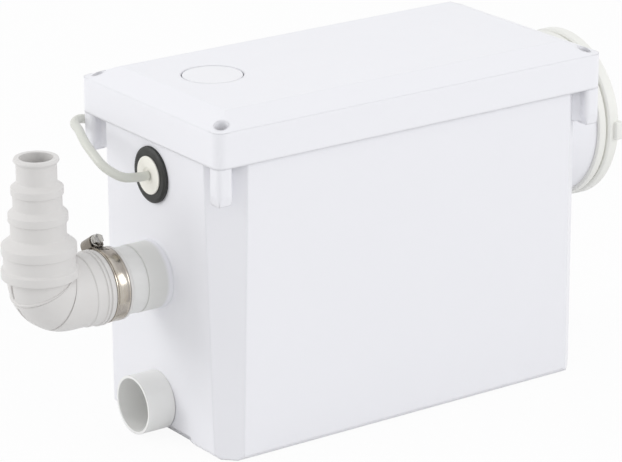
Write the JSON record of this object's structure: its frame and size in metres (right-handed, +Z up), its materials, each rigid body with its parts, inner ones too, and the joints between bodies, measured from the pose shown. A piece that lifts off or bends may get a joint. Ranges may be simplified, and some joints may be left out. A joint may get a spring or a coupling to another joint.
{
  "type": "sewage lifting unit",
  "caption": "Box-shaped tank with a screwed lid, a round toilet inlet collar, a side drain stub, a clamped elbow with an upright stepped hose nozzle, and a coiled mains cable.",
  "frame": {"origin": "centre of the tank's base on the floor", "axes": "+Z up, +X along the tank to the toilet inlet, -X to the discharge elbow, -Y to the front"},
  "size_m": [0.4586, 0.293, 0.237],
  "materials": {
    "shell": "satin moulded",
    "lid": "satin moulded",
    "seal": "matt",
    "screw": "plated",
    "filter": "porous",
    "grommet": "satin",
    "bush": "moulded",
    "valve": "moulded",
    "elbow": "semi-rigid satin",
    "clamp": "stainless",
    "worm": "plated",
    "sleeve": "satin",
    "cord": "satin sheath",
    "plug": "moulded",
    "brass": "nickel-plated",
    "pump": "glass-filled",
    "steel": "stainless",
    "cast": "as cast",
    "core": "laminated",
    "tray": "moulded",
    "electric": "moulded",
    "can": "drawn",
    "flap": "matt",
    "drain": "satin moulded"
  },
  "bodies": {
    "unit": {"tank": "shell", "lid": "lid", "lid_seal": "seal", "lid_screws": "screw", "vent_filter": "filter", "grommet": "grommet", "gland_bush": "bush", "inner_lead": "cord", "terminal_block": "tray", "capacitor": "can", "control_tray": "tray", "level_chamber": "pump", "membrane": "seal", "chamber_cover": "pump", "microswitch": "electric", "drain_spigot": "drain", "drain_flap_pin": "steel", "valve_body": "valve", "outlet_flap_pin": "steel", "inlet_sleeve": "sleeve", "pump_casing": "pump", "casing_cover": "pump", "cutter_basket": "steel", "seal_plate": "cast", "shaft_seal": "seal", "motor_housing": "cast", "motor_cap": "cast", "motor_screws": "screw", "lower_bearing": "steel", "upper_bearing": "steel", "stator": "core", "inner_pipe": "pump", "cord_run": "cord", "cord_coil": "cord", "cord_tail": "cord", "plug_body": "plug", "plug_pins": "brass"},
    "rotor": {"shaft": "steel", "rotor_core": "core", "impeller": "pump", "cutter": "steel"},
    "outlet_valve_flap": {"outlet_flap": "flap"},
    "drain_valve_flap": {"drain_flap": "flap"},
    "discharge_elbow": {"elbow": "elbow", "clamp_band": "clamp", "clamp_housing": "worm"},
    "worm_screw": {"clamp_screw": "worm"},
    "vent_lid": {"vent_cap": "lid"},
    "level_plunger": {"switch_plunger": "electric"}
  },
  "joints": [
    {"name": "rotor_spin", "type": "hinge", "parent": "unit", "child": "rotor", "pos_m": [0.03, 0, 0.12], "axis": [0, 0, 1], "continuous": true},
    {"name": "outlet_flap_swing", "type": "hinge", "parent": "unit", "child": "outlet_valve_flap", "pos_m": [-0.14949, 0.004, 0.1254], "axis": [0, 1, 0], "range_deg": [0, 50]},
    {"name": "drain_flap_swing", "type": "hinge", "parent": "unit", "child": "drain_valve_flap", "pos_m": [-0.13325, 0.004, 0.0363], "axis": [0, -1, 0], "range_deg": [0, 60]},
    {"name": "elbow_swivel", "type": "hinge", "parent": "unit", "child": "discharge_elbow", "pos_m": [-0.195, 0.004, 0.111], "axis": [1, 0, 0], "range_deg": [-90, 90]},
    {"name": "worm_turn", "type": "hinge", "parent": "discharge_elbow", "child": "worm_screw", "pos_m": [-0.1901, 0.01926, 0.13542], "axis": [0, -0.848, 0.5299], "continuous": true},
    {"name": "vent_cap_lift", "type": "slide", "parent": "unit", "child": "vent_lid", "axis": [0, 0, 1], "range_m": [0, 0.015]},
    {"name": "level_plunger_travel", "type": "slide", "parent": "unit", "child": "level_plunger", "axis": [0, 0, 1], "range_m": [0, 0.0013], "stiffness_N_per_m": 150, "springref_m": -0.0005}
  ]
}
